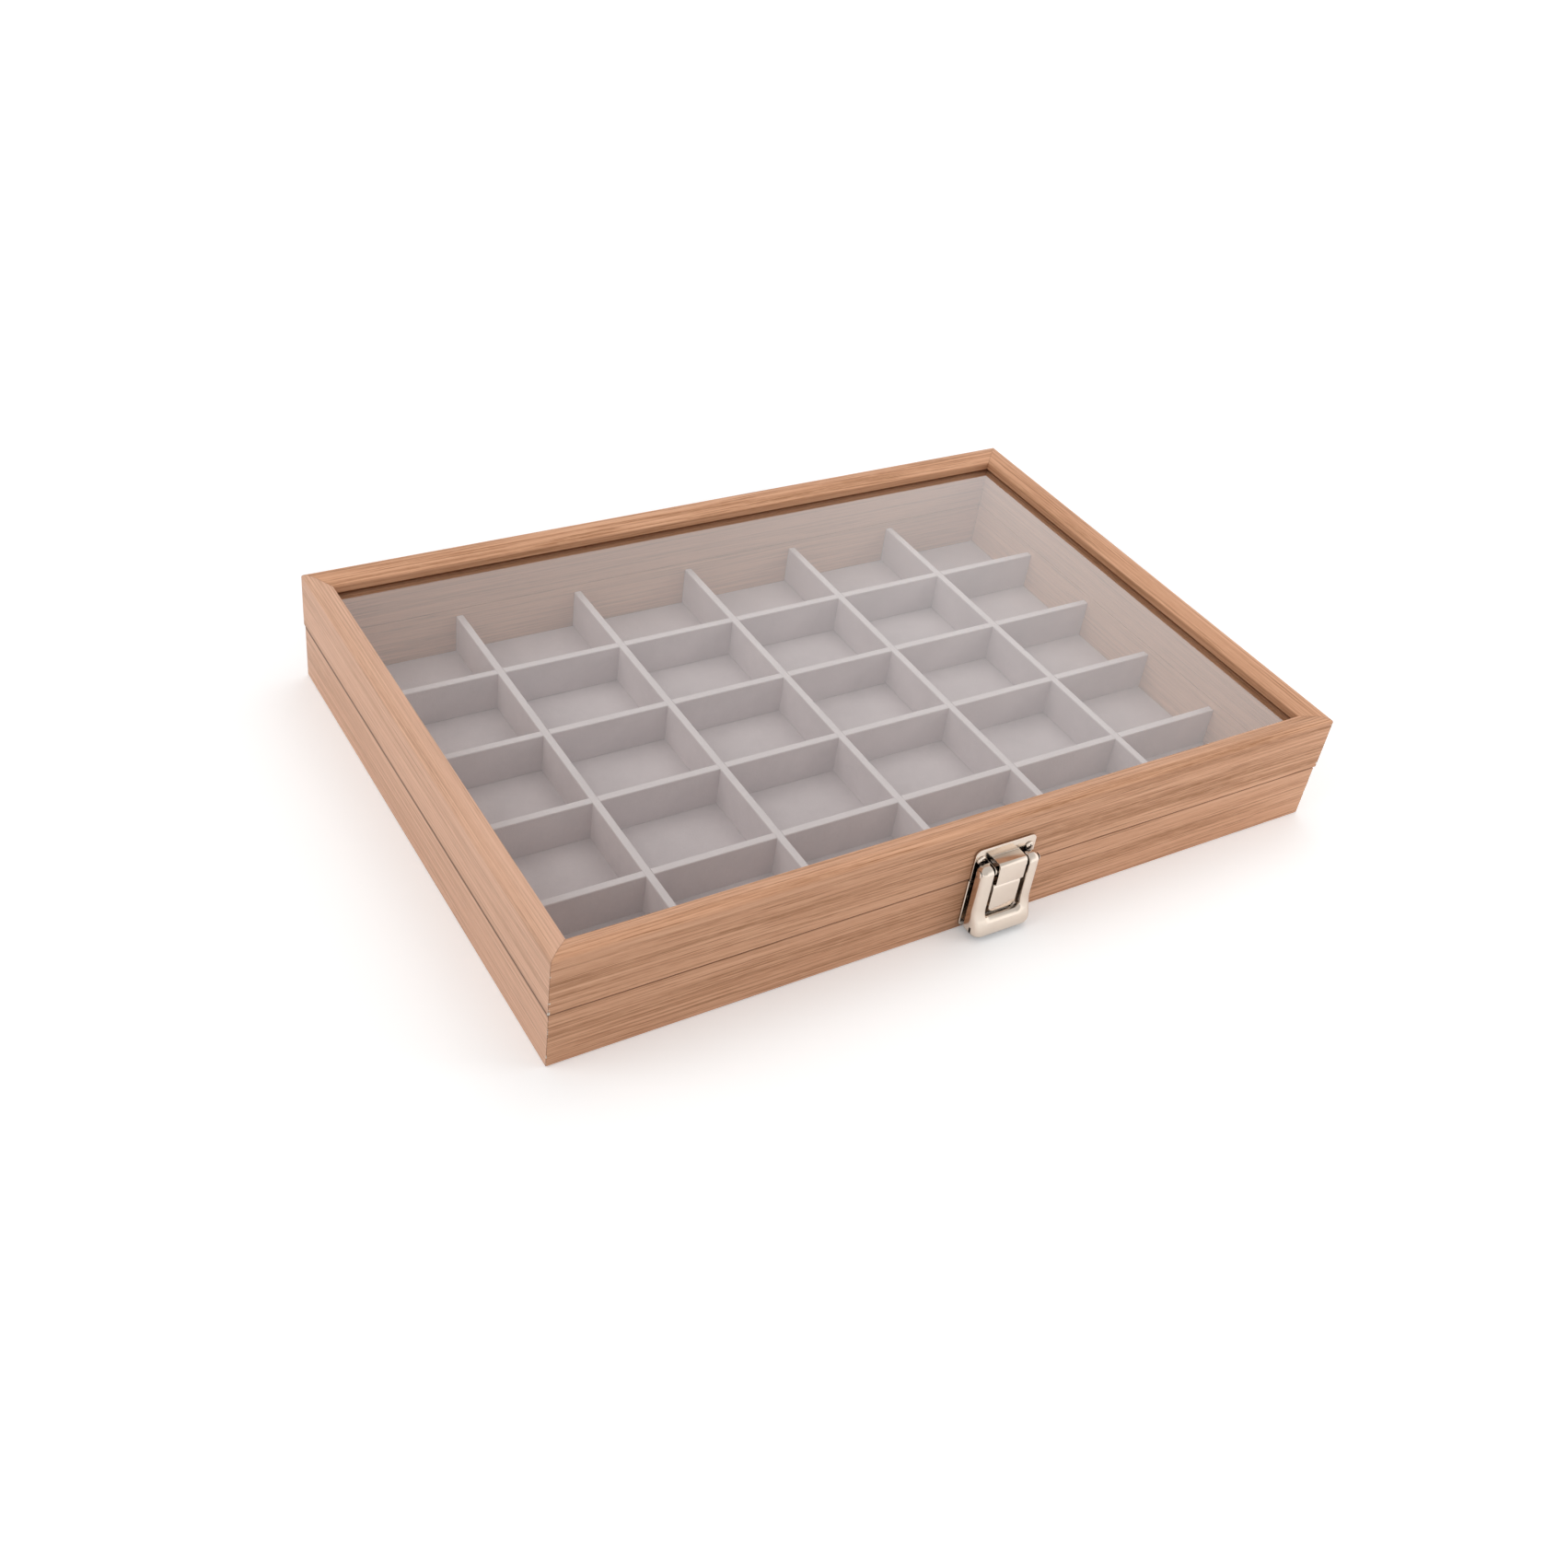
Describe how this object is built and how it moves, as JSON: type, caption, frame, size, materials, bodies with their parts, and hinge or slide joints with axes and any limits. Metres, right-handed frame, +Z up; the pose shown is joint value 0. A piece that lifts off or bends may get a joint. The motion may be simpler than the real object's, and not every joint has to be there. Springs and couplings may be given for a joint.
{
  "type": "mineral display box",
  "caption": "Shallow hinged wooden display box with a glazed lid, a velvet-lined grid of open cells and a metal latch at the front.",
  "frame": {"origin": "centre of the case's footprint, on the surface it stands on; the latch and hinges stand out past the footprint", "axes": "+X along the long side, to the right seen from the latch; the latch is at -Y, the hinges at +Y; +Z up"},
  "size_m": [0.35, 0.2534, 0.05],
  "materials": {
    "wood": "fine-grained light brown, satin",
    "panel": "plain brown board, matt",
    "glass": "clear, polished",
    "velvet": "short grey pile",
    "nickel": "polished nickel plate"
  },
  "bodies": {
    "base": {"bottom_panel": "panel", "floor_liner": "velvet", "base_rail_front": "wood", "base_rail_back": "wood", "base_rail_left": "wood", "base_rail_right": "wood", "divider_cross_1": "velvet", "divider_cross_2": "velvet", "divider_cross_3": "velvet", "divider_cross_4": "velvet", "divider_cross_5": "velvet", "divider_long_1": "velvet", "divider_long_2": "velvet", "divider_long_3": "velvet", "divider_long_4": "velvet", "latch_base_plate": "nickel", "latch_catch": "nickel", "latch_screws_base": "nickel", "hinge_leaf_base_left": "nickel", "hinge_leaf_base_right": "nickel", "hinge_pin_left": "nickel", "hinge_pin_right": "nickel", "hinge_screws_base": "nickel"},
    "lid": {"lid_rail_front": "wood", "lid_rail_back": "wood", "lid_rail_left": "wood", "lid_rail_right": "wood", "glass_pane": "glass", "latch_lid_plate": "nickel", "latch_pin": "nickel", "latch_screws_lid": "nickel", "hinge_leaf_lid_left": "nickel", "hinge_leaf_lid_right": "nickel", "hinge_screws_lid": "nickel"},
    "latch": {"latch_frame": "nickel"}
  },
  "joints": [
    {"name": "lid_hinge", "type": "hinge", "parent": "base", "child": "lid", "pos_m": [0, 0.12185, 0.025], "axis": [-1, 0, 0], "range_deg": [0, 180]},
    {"name": "latch_hinge", "type": "hinge", "parent": "lid", "child": "latch", "pos_m": [0.009, -0.1242, 0.031], "axis": [-1, 0, 0], "range_deg": [0, 110]}
  ]
}
